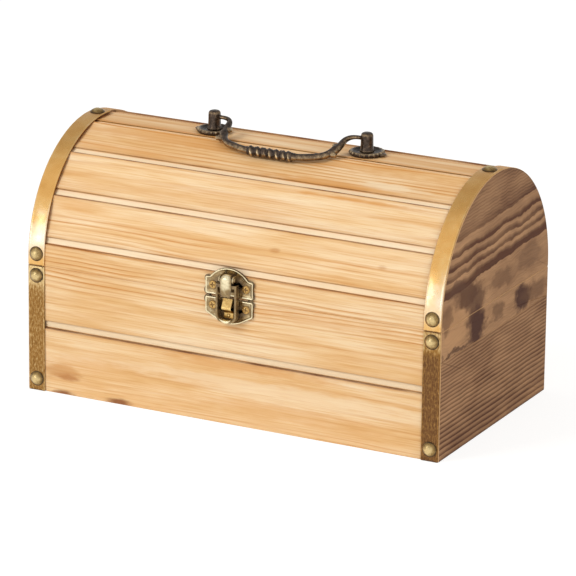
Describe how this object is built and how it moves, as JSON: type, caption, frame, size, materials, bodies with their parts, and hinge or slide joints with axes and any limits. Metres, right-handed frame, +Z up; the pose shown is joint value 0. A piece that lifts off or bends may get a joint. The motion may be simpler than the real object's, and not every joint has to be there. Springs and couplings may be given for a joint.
{
  "type": "wooden treasure chest",
  "caption": "Small pine treasure chest with a planked barrel lid, gold corner straps with dome nails, a hasp latch and an antique drop handle.",
  "frame": {"origin": "middle of the underside, on the surface that the chest stands on", "axes": "+X along the front to the right, +Y from the front to the back, +Z up"},
  "size_m": [0.3, 0.1757, 0.1839],
  "materials": {
    "pine_plank": "pale honey pine, satin varnish",
    "pine_end": "flame-scorched pine, satin varnish",
    "gold_strap": "bright gold sheet with rubbed streaks",
    "antique_nail": "antique brass, half polished",
    "latch_brass": "antique brass plate, polished",
    "hinge_brass": "brass plated, satin",
    "antique_bronze": "antique bronze on cast zinc, rubbed on the edges",
    "screw_steel": "zinc plated"
  },
  "bodies": {
    "base": {"left_end_low_board": "pine_end", "left_end_high_board": "pine_end", "right_end_low_board": "pine_end", "right_end_high_board": "pine_end", "base_front_plank_low": "pine_plank", "base_front_plank_high": "pine_plank", "base_back_plank_low": "pine_plank", "base_back_plank_high": "pine_plank", "bottom_board": "pine_plank", "left_base_strap": "gold_strap", "right_base_strap": "gold_strap", "base_strap_nails": "antique_nail", "latch_lower_plate": "latch_brass", "latch_catch": "latch_brass", "latch_catch_rivet": "latch_brass", "latch_screws_base": "latch_brass", "left_hinge_lower_leaf": "hinge_brass", "left_hinge_pin": "hinge_brass", "right_hinge_lower_leaf": "hinge_brass", "right_hinge_pin": "hinge_brass", "hinge_screws_base": "hinge_brass"},
    "lid": {"left_end_arch": "pine_end", "right_end_arch": "pine_end", "lid_front_side_plank": "pine_plank", "lid_back_side_plank": "pine_plank", "lid_plank_1": "pine_plank", "lid_plank_2": "pine_plank", "lid_plank_3": "pine_plank", "lid_plank_4": "pine_plank", "lid_plank_5": "pine_plank", "lid_plank_6": "pine_plank", "lid_plank_7": "pine_plank", "left_lid_strap": "gold_strap", "right_lid_strap": "gold_strap", "lid_strap_nails": "antique_nail", "latch_upper_plate": "latch_brass", "latch_pin": "latch_brass", "latch_screws_lid": "latch_brass", "left_hinge_upper_leaf": "hinge_brass", "right_hinge_upper_leaf": "hinge_brass", "hinge_screws_lid": "hinge_brass", "left_handle_rosette": "antique_bronze", "right_handle_rosette": "antique_bronze", "left_handle_post": "antique_bronze", "right_handle_post": "antique_bronze", "handle_screws": "screw_steel", "handle_washers": "screw_steel"},
    "latch_flap": {"latch_flap": "latch_brass"},
    "bail": {"handle_bail": "antique_bronze"}
  },
  "joints": [
    {"name": "lid_hinge", "type": "hinge", "parent": "base", "child": "lid", "pos_m": [0, 0.0842, 0.086], "axis": [-1, 0, 0], "range_deg": [0, 104.5]},
    {"name": "latch_hinge", "type": "hinge", "parent": "lid", "child": "latch_flap", "pos_m": [0, -0.0858, 0.0992], "axis": [-1, 0, 0], "range_deg": [0, 110]},
    {"name": "bail_hinge", "type": "hinge", "parent": "lid", "child": "bail", "pos_m": [0, 0, 0.17962], "axis": [-1, 0, 0], "range_deg": [0, 223.7]}
  ]
}
